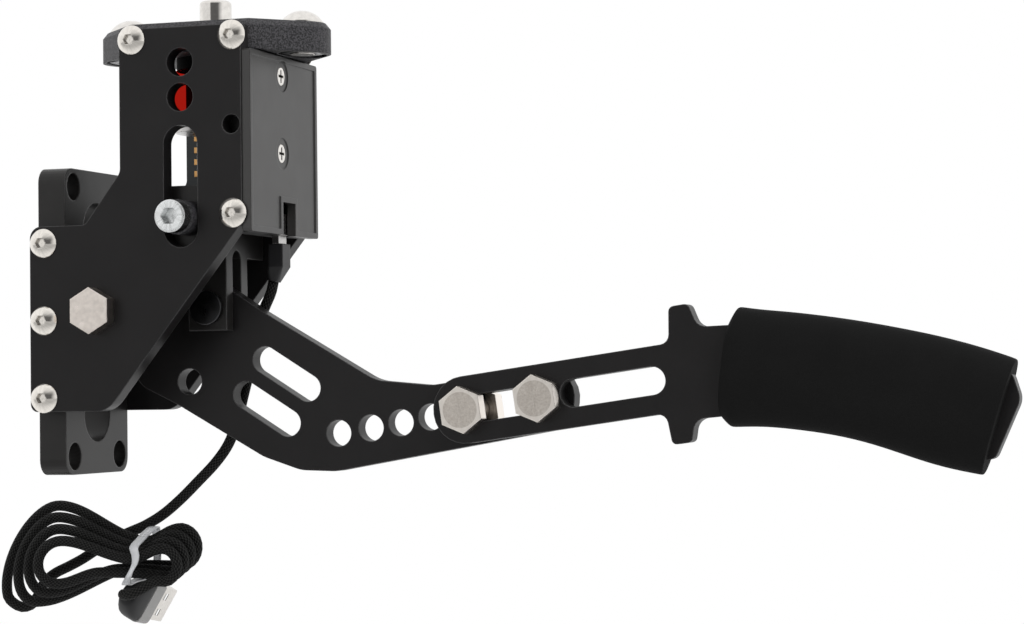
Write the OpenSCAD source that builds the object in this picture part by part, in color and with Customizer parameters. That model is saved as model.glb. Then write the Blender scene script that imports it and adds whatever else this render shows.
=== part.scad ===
// Hand lever for a driving rig, with an elastic damper over its push rod and a tied lead below.
// Millimetres. The origin is the centre of the base plate's mounting face, +X runs towards the grip,
// +Y away from the eye and +Z up.

/* [Base plate] */
// Height of the base plate
base_h = 100; // [98:0.5:110]
// Width of the base plate, which is the gap between the side plates
base_w = 45; // [43:0.5:50]
// Thickness of the base plate
base_t = 9.5; // [8:0.25:10]
// Corner radius of the base plate
base_corner = 5; // [2:0.5:6]
// Diameter of the four mounting holes
mount_hole_d = 9; // [6:0.5:10]
// Distance of the mounting holes from the side edges
mount_edge_y = 6.2; // [5.8:0.1:7]
// Distance of the mounting holes from the top and bottom edges
mount_edge_z = 6; // [5.8:0.1:7]
// Width of the window in the base plate
window_w = 18.6; // [12:0.2:20]
// Height of the window in the base plate
window_h = 79; // [60:1:80]

/* [Side plates] */
// Thickness of each side plate
plate_t = 6; // [5:0.5:8]
// Depth of the side plates below the centre of the base plate
wing_drop = 29.4; // [29:0.2:32]
// Height of the low rear part of the side plates
wing_top = 30.5; // [29.5:0.5:34]
// Rear edge of the tower
tower_x = 32.3; // [31:0.1:32.5]
// Front edge of the side plates
front_x = 74.6; // [74:0.1:76]
// Top edge of the side plates
plate_top = 92.8; // [92:0.2:96]
// Foot of the straight front edge
front_foot = 29.7; // [28:0.2:30]
// Front end of the bottom edge
toe_x = 27.3; // [26:0.1:30]
// Where the top edge of the low part turns up
rise_x = 19.7; // [18:0.1:22]
// Foot of the tower's rear edge
neck_z = 46.9; // [45:0.1:50]
// Width of the guide slot
slot_w = 11.7; // [11:0.1:12.5]
// Bottom end of the guide slot
slot_bottom = 22.4; // [20:0.2:24]
// Top end of the guide slot
slot_top = 61.3; // [58:0.2:64]
// Diameter of the two sight holes over the damper
sight_d = 9; // [6:0.5:10]
// Height of the lower sight hole
sight_z = 70.3; // [69.5:0.1:71]
// Distance between the two sight holes
sight_step = 11.2; // [10:0.2:12]
// Diameter of the side hole beside the electronics box
side_hole_d = 6; // [3:0.5:7]
// Height of that side hole
side_hole_z = 61; // [58:1:70]

/* [Frame screws] */
// Diameter of the frame screws
m5_d = 5; // [4:0.5:5.5]
// Head diameter of the frame screws
m5_head_d = 9.5; // [8.5:0.1:9.9]
// Head height of the frame screws
m5_head_h = 2.75; // [2:0.25:3.5]
// Length of the frame screws under the head
m5_len = 16; // [12:1:17]
// Distance between the base plate screws
base_screw_step = 25; // [22:0.5:25.5]
// Place of the base plate screws from the mounting face
base_screw_x = 4.9; // [4.5:0.1:5]
// Place of the front screws behind the front edge
front_screw_back = 3.1; // [3:0.05:3.3]
// Height of the lower front screw
front_screw_z = 32.8; // [32:0.1:34]
// Place of the rear cap screw
cap_screw_x = 36.7; // [36:0.1:40]
// Height of the cap screws under the plate's top edge
cap_screw_drop = 3.5; // [3.2:0.1:3.8]

/* [Top cap] */
// Underside of the top cap
cap_z = 85.4; // [85.2:0.1:86]
// Thickness of the top cap
cap_t = 10; // [9.5:0.1:11]
// Distance from the rod to each end lobe
lobe_reach = 30.5; // [30:0.5:33]
// Radius of the end lobes
lobe_r = 9.4; // [9:0.1:10]
// Angle of the tapered ends
cap_taper = 45.2; // [44:0.2:47]
// Chamfer round the top face
cap_chamfer = 2; // [1:0.25:2.5]
// Head diameter of the screws in the end lobes
end_head_d = 14; // [12:0.25:15]
// Head height of those screws
end_head_h = 4.4; // [3.5:0.1:5]
// Width of the pocket under each lobe
pocket_w = 13.8; // [13.5:0.1:14.2]
// Depth of the pocket under each lobe
pocket_depth = 6.8; // [6.7:0.1:7.2]
// Length added to the pocket by its two round ends being apart
pocket_run = 6; // [5:0.5:7]

/* [Electronics box] */
// Depth of the box behind the front edge of the plates
box_depth = 6.8; // [6.6:0.1:7]
// Wall of the box
box_wall = 1.5; // [1.2:0.1:1.8]
// Bottom of the box and of its cover
box_z = 27; // [26:0.2:27.4]
// Top of the cover
cover_top = 84.9; // [83:0.1:85]
// Thickness of the cover
cover_t = 3; // [2.5:0.1:4]
// Width of the cover
cover_w = 56; // [54:0.5:57]
// Width of the raised border of the cover
border_w = 1.8; // [1:0.1:3]
// Height of the raised border of the cover
border_h = 0.4; // [0.2:0.1:0.6]
// Centre of the lead's window in the cover
port_y = 3.3; // [2:0.1:4]
// Width of that window
port_w = 10.3; // [9:0.1:12]
// Height of that window
port_h = 10.6; // [9:0.1:12]
// Side place of the cover screws
cover_screw_y = -1; // [-2:0.5:1]
// Height of the lower cover screw
cover_screw_z = 53.4; // [53.2:0.1:56]
// Distance between the cover screws
cover_screw_step = 25.2; // [22:0.2:26]
// Head diameter of the cover screws
cover_screw_d = 6.2; // [5:0.1:6.6]
// Diameter of the shallow ring round each cover screw
ring_d = 10.2; // [8:0.2:12]
// Thickness of the circuit boards
board_t = 1.6; // [1:0.1:1.8]
// Height of the main board
board_h = 20; // [18:0.5:21]
// Width of the main board
board_w = 24; // [22:0.5:24.6]

/* [Sensor board] */
// Width of the sensor board
sensor_w = 12.8; // [11:0.2:13]
// Height of the sensor board
sensor_h = 21; // [19:0.5:22]
// Lower edge of the sensor board
sensor_z = 45; // [44:0.5:46]
// Gap from the tower's rear edge to the sensor board
sensor_in = 0.7; // [0.5:0.1:0.8]
// Number of gold pads
pad_count = 4; // [3:1:5]
// Distance between the gold pads
pad_step = 4; // [3:0.1:4]

/* [Lever] */
// Place of the pivot from the mounting face
pivot_x = 23.4; // [23:0.1:24]
// Height of the pivot
pivot_z = 2.8; // [1:0.2:4]
// Diameter of the pivot bolt and of the handle bolts
m8_d = 8; // [6:0.5:8.2]
// Width across the flats of the hexagons
hex_af = 13; // [12:0.1:13.2]
// Height of the hexagon heads
hex_head_h = 5.3; // [4:0.1:6]
// Height of the nuts
nut_h = 6.5; // [5:0.1:6.6]
// Thickness of the lever plate and of the handle plate
lever_t = 6; // [5:0.25:6.2]
// Radius of the lever's end round its pivot
lever_end_r = 12.5; // [11.5:0.1:13]
// Wall of the lever bush
bush_wall = 2; // [1.5:0.25:3]
// Width of the slots in the lever and in the handle plate
arm_slot_w = 8.7; // [8.5:0.1:9.2]
// Diameter of the round holes in the lever
lever_hole_d = 8.5; // [6:0.5:9]
// Range of the lever's swing, which the fork's slot has to allow
swing = 15; // [10:1:15]

/* [Handle] */
// Distance from the pivot to the first handle bolt
handle_reach = 118.1; // [117:0.5:119]
// Drop of the first handle bolt below the pivot
handle_drop = 33.1; // [32.6:0.1:33.4]
// Distance between the handle bolts
bolt_step = 24.5; // [23:0.5:25]
// Upward tilt of the handle
handle_tilt = 7.75; // [6:0.25:9]
// Width of the handle plate
handle_w = 21.2; // [19:0.2:22]
// First centre of the long slot, from the first bolt
long_slot_from = 35.8; // [34.5:0.1:38]
// Second centre of the long slot, from the first bolt
long_slot_to = 61.2; // [56:0.2:62]
// Foam between the plate's edge and the outside of the grip
foam_wall = 4.2; // [3.5:0.1:5]
// Half thickness of the foam grip
grip_half_t = 10; // [8.5:0.25:12]

/* [Follower and rod] */
// Distance from the pivot to the clevis pin
pin_reach = 30.1; // [30:0.1:30.4]
// Height of the clevis pin above the pivot
pin_rise = 0.8; // [0.4:0.1:1.2]
// Diameter of the clevis pin
pin_d = 6; // [5:0.25:6.2]
// Head diameter of the clevis pin
pin_head_d = 11; // [9.5:0.25:11.5]
// Width of the sliding block and of its prongs
block_w = 13.4; // [12.8:0.1:13.6]
// Bottom of the sliding block
block_z = 20; // [19:0.25:20.6]
// Top of the sliding block
block_top = 42.5; // [42:0.1:43]
// Thickness of each prong
prong_t = 5; // [4:0.25:5.5]
// Length of the prongs past the centre of the pin
prong_tail = 7.4; // [7:0.1:9]
// Height of the guide screws
guide_z = 31.9; // [31.6:0.1:33]
// Head diameter of the guide screws
m6_head_d = 10.4; // [9:0.1:10.8]
// Length by which the guide bushes stand out of the side plates
bush_stand = 2.9; // [2:0.1:3.5]
// Diameter of the push rod and of the guide screws
rod_d = 6; // [5:0.25:6.2]
// Outer radius of the thrust sleeve
sleeve_r = 6.5; // [5.8:0.1:7]
// Outer radius of the damper
damper_r = 13.2; // [11:0.2:13.3]
// Bore radius of the damper
damper_bore_r = 3.8; // [3.5:0.1:4.5]
// Lower end of the damper at rest
damper_z = 63.2; // [62.6:0.1:64]
// Thickness of the thrust washer
washer_t = 2.2; // [1.5:0.1:2.4]
// Thickness of the damper's seat under the cap
seat_t = 4; // [3:0.1:4.4]
// Diameter of the top nut
top_nut_d = 10.5; // [9.5:0.25:12]
// Height of the top nut
top_nut_h = 9.1; // [8:0.1:11]

/* [Lead] */
// Diameter of the lead
lead_d = 3.5; // [3.1:0.05:3.55]
// Length of the strain relief
relief_len = 12; // [11:0.25:12.5]
// Width of the tie round the hank
tie_w = 2.6; // [2:0.1:3.4]
// Wall of the tie
tie_t = 0.8; // [0.5:0.05:1]
// Length of the plug's tapered body
plug_body_len = 9; // [8:0.5:10]
// Length of the plug's collar
plug_collar_len = 7; // [6:0.5:9]
// Length of the plug's metal shell
plug_shell_len = 12; // [11:0.25:13]
// Width of the plug's metal shell
plug_shell_w = 12; // [11:0.25:12.4]

/* [Hidden] */
$fn = 48;

// Clearances: between pieces fixed to each other, on a shaft that turns or slides, and between moving faces
snug = 0.05;
running = 0.06;
free = 0.3;
through = 0.15;

// Planes and centres that several pieces share
inner_y = base_w / 2;
outer_y = inner_y + plate_t;
rod_x = pivot_x + pin_reach;
pin_z = pivot_z + pin_rise;
cap_top = cap_z + cap_t;
cap_screw_z = plate_top - cap_screw_drop;
front_screw_x = front_x - front_screw_back;
m5_hole_depth = m5_len - plate_t + 1;
bolt1_x = pivot_x + handle_reach;
bolt1_z = pivot_z - handle_drop;
lever_y = lever_t / 2;
fork_gap = lever_t + 0.9;
prong_y = fork_gap / 2 + prong_t;
block_y = inner_y - 0.5;
seat_z = cap_z - seat_t;
sensor_x = tower_x + sensor_in;
sensor_face = inner_y - board_t;
box_x = front_x - box_depth;
box_floor_x = box_x + box_wall;
hex_r = hex_af / 2 / cos(30);

// Corner rounding: an outline is a list of corners, each with its own radius
function arc_steps(r) = r < 0.1 ? 1 : r < 4 ? 4 : 7;
function corner_arc(a, b, c, r) =
    let (u = (a - b) / norm(a - b), w = (c - b) / norm(c - b))
    let (half = acos(max(-1, min(1, u * w))) / 2, reach = r / tan(half))
    let (mid = b + (u + w) / norm(u + w) * r / sin(half))
    let (p = b + u * reach, q = b + w * reach)
    let (from = atan2(p[1] - mid[1], p[0] - mid[0]), to = atan2(q[1] - mid[1], q[0] - mid[0]))
    let (sweep = to - from, turn = sweep > 180 ? sweep - 360 : sweep < -180 ? sweep + 360 : sweep)
    [for (k = [0:arc_steps(r)]) mid + r * [cos(from + turn * k / arc_steps(r)),
        sin(from + turn * k / arc_steps(r))]];
function xy(p) = [p[0], p[1]];
function rounded(c) = [for (i = [0:len(c) - 1])
    let (n = len(c), a = xy(c[(i + n - 1) % n]), b = xy(c[i]), d = xy(c[(i + 1) % n]))
    each (c[i][2] < 0.1 ? [b] : corner_arc(a, b, d, c[i][2]))];
function box_corners(w, h, r) =
    [[-w / 2, -h / 2, r], [w / 2, -h / 2, r], [w / 2, h / 2, r], [-w / 2, h / 2, r]];

// A flat plate with its outline in X and Z, from y up by t
module upright(y, t) {
    translate([0, y + t, 0]) rotate([90, 0, 0]) linear_extrude(t) children();
}
// A round bar along Y, and one along X
module bar_y(x, z, r, y0, y1) {
    translate([x, y1, z]) rotate([90, 0, 0]) cylinder(r = r, h = y1 - y0);
}
module bar_x(y, z, r, x0, x1) {
    translate([x0, y, z]) rotate([0, 90, 0]) cylinder(r = r, h = x1 - x0);
}
module tube_y(x, z, r, bore, y0, y1) {
    difference() {
        bar_y(x, z, r, y0, y1);
        bar_y(x, z, bore, y0 - 1, y1 + 1);
    }
}
// A hexagon along Y with one corner up, and a slot with round ends cut along Y
module hex_y(x, z, r, y0, y1) {
    translate([x, y1, z]) rotate([90, 0, 0]) rotate([0, 0, 30]) cylinder(r = r, h = y1 - y0, $fn = 6);
}
module slot_y(a, b, r, y0, y1) {
    along = norm(b - a);
    bar_y(a[0], a[1], r, y0, y1);
    bar_y(b[0], b[1], r, y0, y1);
    translate([a[0], y1, a[1]]) rotate([90, 0, 0]) rotate([0, 0, atan2(b[1] - a[1], b[0] - a[0])])
        translate([0, -r, 0]) cube([along, 2 * r, y1 - y0]);
}
// The outline of a slot with round ends, and such a slot cut along Y at a slant
function slot_outline(a, b, r) = let (lean = atan2(b[1] - a[1], b[0] - a[0])) concat(
    [for (k = [-12:12]) b + r * [cos(lean + k * 7.5), sin(lean + k * 7.5)]],
    [for (k = [12:36]) a + r * [cos(lean + k * 7.5), sin(lean + k * 7.5)]]);
module slant_slot(a, b, r, y0, y1) {
    upright(y0, y1 - y0) polygon(slot_outline(a, b, r));
}
// A round headed screw with a hexagon socket, head up, its seat at z = 0
module button_screw(d, head_d, head_h, len) {
    rim = 0.12 * head_h;
    rise = head_h - rim;
    dome_r = (head_d * head_d / 4 + rise * rise) / (2 * rise);
    difference() {
        intersection() {
            cylinder(d = head_d, h = head_h);
            translate([0, 0, head_h - dome_r]) sphere(dome_r);
        }
        translate([0, 0, head_h * 0.45]) cylinder(r = head_d * 0.19, h = head_h, $fn = 6);
    }
    translate([0, 0, -len]) cylinder(d = d, h = len);
}
// A hexagon headed bolt along Y, its head towards the eye and its seat at y
module hex_bolt(x, z, y, len) {
    hex_y(x, z, hex_r, y - hex_head_h, y);
    bar_y(x, z, m8_d / 2, y, y + len);
}
// A skin over rings of points, closed at both ends
module loft(rings) {
    n = len(rings[0]);
    last = len(rings) - 1;
    polyhedron(points = [for (r = rings) each r], faces = concat(
        [for (i = [0:last - 1]) for (j = [0:n - 1]) [i * n + j, (i + 1) * n + j, i * n + (j + 1) % n]],
        [for (i = [0:last - 1]) for (j = [0:n - 1])
            [i * n + (j + 1) % n, (i + 1) * n + j, (i + 1) * n + (j + 1) % n]],
        [for (j = [1:n - 2]) [0, j, j + 1]],
        [for (j = [1:n - 2]) [last * n, last * n + j + 1, last * n + j]]));
}
function unit(v) = v / norm(v);
function heading(p, i) = unit(p[min(i + 1, len(p) - 1)] - p[max(i - 1, 0)]);
function square_to(v, t) = unit(v - (v * t) * t);
function sides_of(p) = [for (i = 0, v = square_to([0, 1, 0.02], heading(p, 0)); i < len(p);
    i = i + 1, v = i < len(p) ? square_to(v, heading(p, i)) : v) v];
function ring_at(c, t, v, r, n) = let (w = cross(t, v))
    [for (k = [0:n - 1]) c + r * (cos(360 * k / n) * v + sin(360 * k / n) * w)];
function tube_rings(p, r, n) = let (v = sides_of(p))
    [for (i = [0:len(p) - 1]) ring_at(p[i], heading(p, i), v[i], r, n)];

// Base plate
module base_plate() {
    mouth = window_w / 2;
    color("#232326") difference() {
        rotate([90, 0, 90]) linear_extrude(base_t)
            polygon(rounded(box_corners(base_w, base_h, base_corner)));
        for (y = [-1, 1], z = [-1, 1])
            bar_x(y * (base_w / 2 - mount_edge_y), z * (base_h / 2 - mount_edge_z), mount_hole_d / 2, -1,
                base_t + 1);
        for (z = [-1, 1]) bar_x(0, z * (window_h / 2 - mouth), mouth, -1, base_t + 1);
        translate([-1, -mouth, mouth - window_h / 2]) cube([base_t + 2, window_w, window_h - window_w]);
        for (side = [-1, 1], k = [-1:1])
            bar_y(base_screw_x, k * base_screw_step, m5_d / 2 + snug,
                side > 0 ? inner_y - m5_hole_depth : -inner_y - 1,
                side > 0 ? inner_y + 1 : m5_hole_depth - inner_y);
    }
}

// Side plates: the outline runs from the rear foot round by the toe, the front and the tower
plate_corners = [[0, -wing_drop, 2.5], [toe_x, -wing_drop, 8.5], [front_x, front_foot, 2],
    [front_x, plate_top, 1], [tower_x, plate_top, 1], [tower_x, neck_z, 4], [rise_x, wing_top, 3],
    [0, wing_top, 4]];
plate_screw_spots = concat([for (k = [1, 0, -1]) [base_screw_x, k * base_screw_step]],
    [[front_screw_x, front_screw_z], [front_screw_x, cap_screw_z], [cap_screw_x, cap_screw_z]]);
module side_plate(y) {
    difference() {
        upright(y, plate_t) polygon(rounded(plate_corners));
        for (p = plate_screw_spots) bar_y(p[0], p[1], m5_d / 2 + through, y - 1, y + plate_t + 1);
        bar_y(pivot_x, pivot_z, m8_d / 2 + snug, y - 1, y + plate_t + 1);
        for (k = [0, 1]) bar_y(rod_x, sight_z + k * sight_step, sight_d / 2, y - 1, y + plate_t + 1);
        bar_y(front_screw_x - 0.4, side_hole_z, side_hole_d / 2, y - 1, y + plate_t + 1);
        slot_y([rod_x, slot_bottom + slot_w / 2], [rod_x, slot_top - slot_w / 2], slot_w / 2,
            y - 1, y + plate_t + 1);
        if (y > 0) for (p = sensor_screw_spots) bar_y(p[0], p[1], 1 + snug, y - 1, y + 4);
    }
}
module side_plate_near() { color("#202023") side_plate(-outer_y); }
module side_plate_far() { color("#202023") side_plate(inner_y); }
module plate_screws_near() {
    color("silver") for (p = plate_screw_spots)
        translate([p[0], -outer_y, p[1]]) rotate([90, 0, 0])
            button_screw(m5_d, m5_head_d, m5_head_h, m5_len);
}
module plate_screws_far() {
    color("silver") for (p = plate_screw_spots)
        translate([p[0], outer_y, p[1]]) rotate([-90, 0, 0])
            button_screw(m5_d, m5_head_d, m5_head_h, m5_len);
}

// Top cap: a bar as wide as the base plate, tapering to a round lobe at each end
function cap_corners(inset) =
    let (tip = lobe_reach + (lobe_r - inset) / sin(cap_taper), half = inner_y - inset)
    let (shoulder = tip - half / tan(cap_taper))
    [[-tip, 0, lobe_r - inset], [-shoulder, -half, 2], [shoulder, -half, 2],
     [tip, 0, lobe_r - inset], [shoulder, half, 2], [-shoulder, half, 2]];
cap_screw_shank = cap_t;
bush_r = rod_d / 2 + running + 1.5;
function cap_ring(z, inset) = [for (p = rounded(cap_corners(inset))) [rod_x + p[0], p[1], z]];
module top_cap() {
    color("#2f2f33") difference() {
        loft([cap_ring(cap_z, 0), cap_ring(cap_top - cap_chamfer, 0),
            cap_ring(cap_top, cap_chamfer * 0.8)]);
        for (side = [-1, 1]) translate([rod_x + side * lobe_reach, 0, 0]) {
            translate([0, 0, cap_z]) cylinder(d = m8_d + 2 * snug, h = cap_t + 1);
            for (k = [-1, 1]) translate([0, k * pocket_run / 2, cap_z - 1])
                cylinder(d = pocket_w, h = pocket_depth + 1);
            translate([-pocket_w / 2, -pocket_run / 2, cap_z - 1])
                cube([pocket_w, pocket_run, pocket_depth + 1]);
        }
        translate([rod_x, 0, cap_z - 1]) cylinder(r = bush_r + snug, h = cap_t + 2);
        for (p = [plate_screw_spots[4], plate_screw_spots[5]]) {
            bar_y(p[0], p[1], m5_d / 2 + snug, inner_y - m5_hole_depth, inner_y + 1);
            bar_y(p[0], p[1], m5_d / 2 + snug, -inner_y - 1, m5_hole_depth - inner_y);
        }
    }
}
module cap_end_screws() {
    color("silver") for (side = [-1, 1])
        translate([rod_x + side * lobe_reach, 0, cap_top])
            button_screw(m8_d, end_head_d, end_head_h, cap_screw_shank);
}
module cap_end_nuts() {
    color("silver") for (side = [-1, 1])
        translate([rod_x + side * lobe_reach, 0, cap_z + pocket_depth - nut_h]) difference() {
            rotate([0, 0, 30]) cylinder(r = hex_r, h = nut_h, $fn = 6);
            translate([0, 0, -1]) cylinder(d = m8_d + 2 * snug, h = nut_h + 2);
        }
}
module guide_bush() {
    color("#b08d4a") translate([rod_x, 0, cap_z]) difference() {
        cylinder(r = bush_r, h = cap_t - 0.1);
        translate([0, 0, -1]) cylinder(r = rod_d / 2 + running, h = cap_t + 2);
    }
}
module damper_seat() {
    color("#303034") translate([rod_x, 0, seat_z]) difference() {
        cylinder(r = damper_r - 0.4, h = seat_t);
        translate([0, 0, -1]) cylinder(r = rod_d / 2 + free, h = seat_t + 2);
    }
}
module damper() {
    color("#b3201c") translate([rod_x, 0, damper_z]) difference() {
        cylinder(r = damper_r, h = seat_z - damper_z);
        translate([0, 0, -1]) cylinder(r = damper_bore_r, h = seat_z - damper_z + 2);
    }
}

// Electronics box: an open tray between the side plates, closed by the cover
cover_screw_spots = [for (k = [0, 1]) cover_screw_z + k * cover_screw_step];
block_in = m5_hole_depth + 0.5;
socket_w = 8;
socket_y = inner_y - block_in - 0.8 - socket_w / 2;
socket_x = box_floor_x + board_t;
box_top = cap_z - 0.2;
module box_tray() {
    y_in = inner_y - box_wall;
    color("#28282b") difference() {
        union() {
            difference() {
                translate([box_x, -inner_y, box_z]) cube([box_depth, base_w, box_top - box_z]);
                translate([box_floor_x, -y_in, box_z + box_wall])
                    cube([box_depth, 2 * y_in, box_top - box_z - 2 * box_wall]);
                translate([box_floor_x, socket_y - socket_w / 2 - free, box_z - 1])
                    cube([box_depth, socket_w + 2 * free, box_wall + 2]);
            }
            for (side = [-1, 1]) translate([box_x, side > 0 ? inner_y - block_in : -inner_y, box_z])
                cube([box_depth, block_in, front_screw_z - box_z + m5_d / 2 + 2]);
            for (z = cover_screw_spots) bar_x(cover_screw_y, z, 3.2, box_x, front_x);
        }
        bar_y(front_screw_x, front_screw_z, m5_d / 2 + snug, inner_y - m5_hole_depth, inner_y + 1);
        bar_y(front_screw_x, front_screw_z, m5_d / 2 + snug, -inner_y - 1, m5_hole_depth - inner_y);
        for (z = cover_screw_spots) bar_x(cover_screw_y, z, 1.4 + snug, box_floor_x, front_x + 1);
        translate([box_x - 1, sensor_face - 1.4, lead_z - 3.2]) cube([box_wall + 2, 1.6, 6.4]);
    }
}
module box_cover() {
    face_x = front_x + cover_t - border_h;
    head_sink = cover_screw_d / 2 - 1.4;
    color("#4c4c50") difference() {
        translate([front_x, 0, (box_z + cover_top) / 2]) rotate([90, 0, 90])
            linear_extrude(cover_t) polygon(rounded(box_corners(cover_w, cover_top - box_z, 1)));
        difference() {
            translate([face_x, -cover_w / 2 + border_w, box_z + border_w])
                cube([cover_t, cover_w - 2 * border_w, cover_top - box_z - 2 * border_w]);
            translate([0, port_y - port_w / 2 - border_w, box_z])
                cube([face_x + cover_t, port_w + 2 * border_w, port_h + border_w]);
        }
        translate([front_x - 1, port_y - port_w / 2, box_z - 1]) cube([cover_t + 2, port_w, port_h + 1]);
        for (z = cover_screw_spots) {
            bar_x(cover_screw_y, z, ring_d / 2, face_x - 0.3, face_x + 1);
            bar_x(cover_screw_y, z, 1.4 + snug, front_x - 1, face_x + 1);
            translate([face_x - 0.3 - head_sink, cover_screw_y, z]) rotate([0, 90, 0])
                cylinder(r1 = 1.4 + snug, r2 = cover_screw_d / 2 + snug, h = head_sink);
        }
    }
}
module cover_screws() {
    face_x = front_x + cover_t - border_h - 0.3;
    head_sink = cover_screw_d / 2 - 1.4;
    color("gainsboro") for (z = cover_screw_spots) difference() {
        union() {
            translate([face_x - head_sink, cover_screw_y, z]) rotate([0, 90, 0])
                cylinder(r1 = 1.4, r2 = cover_screw_d / 2, h = head_sink);
            bar_x(cover_screw_y, z, 1.4, box_floor_x + 0.5, face_x - head_sink);
        }
        for (a = [0, 90]) translate([face_x, cover_screw_y, z]) rotate([a, 0, 0])
            translate([-1, -cover_screw_d / 3, -0.4]) cube([2, cover_screw_d * 2 / 3, 0.8]);
    }
}
module main_board() {
    low = box_z + box_wall + free;
    color("#1d5a32") difference() {
        translate([box_floor_x, -board_w / 2, low]) cube([board_t, board_w, board_h]);
        for (side = [-1, 1]) translate([box_x, side > 0 ? inner_y - block_in - free : -inner_y, low - 1])
            cube([box_depth, block_in + free, front_screw_z - box_z + m5_d / 2 + 2 + free]);
    }
}
module board_chips() {
    low = box_z + box_wall + free + board_h;
    color("#18181a") for (s = [[-7.5, -9.5, 7], [3.5, -6.5, 4]])
        translate([socket_x, s[0], low + s[1]]) cube([1.2, s[2], s[2] == 7 ? 7 : 3]);
}
module lead_socket() {
    color("silver") difference() {
        translate([socket_x, socket_y - socket_w / 2, box_z + 0.3]) cube([3.4, socket_w, 7]);
        translate([socket_x + 0.4, socket_y - socket_w / 2 + 0.7, box_z - 1])
            cube([2.7, socket_w - 1.4, 7]);
    }
}

// Sensor board on the far plate, its lead to the box, and its screws
sensor_screw_spots = [for (k = [0, 1]) [sensor_x + sensor_w - 2.5, sensor_z + 2.6 + k * (sensor_h - 10.5)]];
lead_z = sensor_z + sensor_h - 3.6;
module sensor_board() {
    color("#20262a") difference() {
        translate([sensor_x, sensor_face, sensor_z]) cube([sensor_w, board_t, sensor_h]);
        for (p = sensor_screw_spots) bar_y(p[0], p[1], 1 + snug, sensor_face - 1, inner_y + 1);
    }
}
module sensor_pads() {
    color("#d8b25a") for (k = [0:pad_count - 1])
        translate([sensor_x + 2.9, sensor_face - 0.2, sensor_z + 3.8 + k * pad_step]) cube([1.4, 0.2, 2]);
}
module sensor_chip() {
    color("#141416") translate([sensor_x + 5.2, sensor_face - 1.5, sensor_z + 2.2]) cube([3, 1.5, 4]);
}
module sensor_screws() {
    color("silver") for (p = sensor_screw_spots)
        translate([p[0], sensor_face, p[1]]) rotate([90, 0, 0]) button_screw(2, 3.6, 1.3, board_t + 3.5);
}
module sensor_lead() {
    color("#2a2a2c") for (k = [-1.5:1:1.5])
        bar_x(sensor_face - 0.6, lead_z + k * 1.1, 0.6, sensor_x + sensor_w - 1.6, box_floor_x + 0.4);
}

// Pivot of the lever
spacer_end = lever_y + 0.5;
module pivot_bolt() {
    color("silver") hex_bolt(pivot_x, pivot_z, -outer_y, 2 * outer_y + 1.6 + nut_h + 1.5);
}
module pivot_washer() {
    color("silver") tube_y(pivot_x, pivot_z, 8, m8_d / 2 + snug, outer_y, outer_y + 1.6);
}
module pivot_nut() {
    color("silver") difference() {
        hex_y(pivot_x, pivot_z, hex_r, outer_y + 1.6, outer_y + 1.6 + nut_h);
        bar_y(pivot_x, pivot_z, m8_d / 2 + snug, outer_y, outer_y + nut_h + 3);
    }
}
module pivot_spacers() {
    color("#8a8a8e") for (side = [-1, 1])
        tube_y(pivot_x, pivot_z, m8_d / 2 + bush_wall + 0.5, m8_d / 2 + snug,
            side > 0 ? spacer_end : -inner_y, side > 0 ? inner_y : -spacer_end);
}

// Lever: corners from the pivot, [ahead of it, above it, corner radius]
bush_outer_r = m8_d / 2 + running + bush_wall;
function by_handle(x, z, r) = [handle_reach + x, z - handle_drop, r];
lever_corners = [[-lever_end_r, -5, 6], [4.6, -24.6, 3.5], [17, -30.6, 4], [47, -47.6, 18], [60, -52, 14],
    by_handle(-46.1, -19.3, 14), by_handle(32.5, -5.9, 9.5), by_handle(36.5, 14.7, 9.5),
    by_handle(-13.1, 7.9, 18), by_handle(-32.1, 9.7, 14), [47, -0.6, 8], [27, 12.5, 6],
    [-lever_end_r, 12.5, 12.2]];
slot_run = [14.8, -9.3];
lever_slots = [for (s = [[47.8, -16.3], [40.8, -27.5]]) [s, s + slot_run]];
lever_holes = [[21.1, -23], by_handle(-45, -7.1, 0), by_handle(-33.9, -5.5, 0), by_handle(-23.7, -3.9, 0),
    by_handle(-13.6, -2.2, 0)];
module lever_arm() {
    spot = [pivot_x, pivot_z];
    color("#1b1b1d") difference() {
        translate([pivot_x, 0, pivot_z]) upright(-lever_y, lever_t) polygon(rounded(lever_corners));
        bar_y(pivot_x, pivot_z, bush_outer_r + snug, -lever_t, lever_t);
        bar_y(rod_x, pin_z, pin_d / 2 + snug, -lever_t, lever_t);
        for (s = lever_slots) slant_slot(spot + s[0], spot + s[1], arm_slot_w / 2, -lever_t, lever_t);
        for (h = lever_holes) bar_y(spot[0] + h[0], spot[1] + h[1], lever_hole_d / 2, -lever_t, lever_t);
        in_handle() slant_slot([0, 0], [bolt_step, 0], arm_slot_w / 2, -lever_t, lever_t);
    }
}
module lever_bush() {
    color("#b08d4a")
        tube_y(pivot_x, pivot_z, bush_outer_r, m8_d / 2 + running, -lever_y - 0.3, lever_y + 0.3);
}

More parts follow.
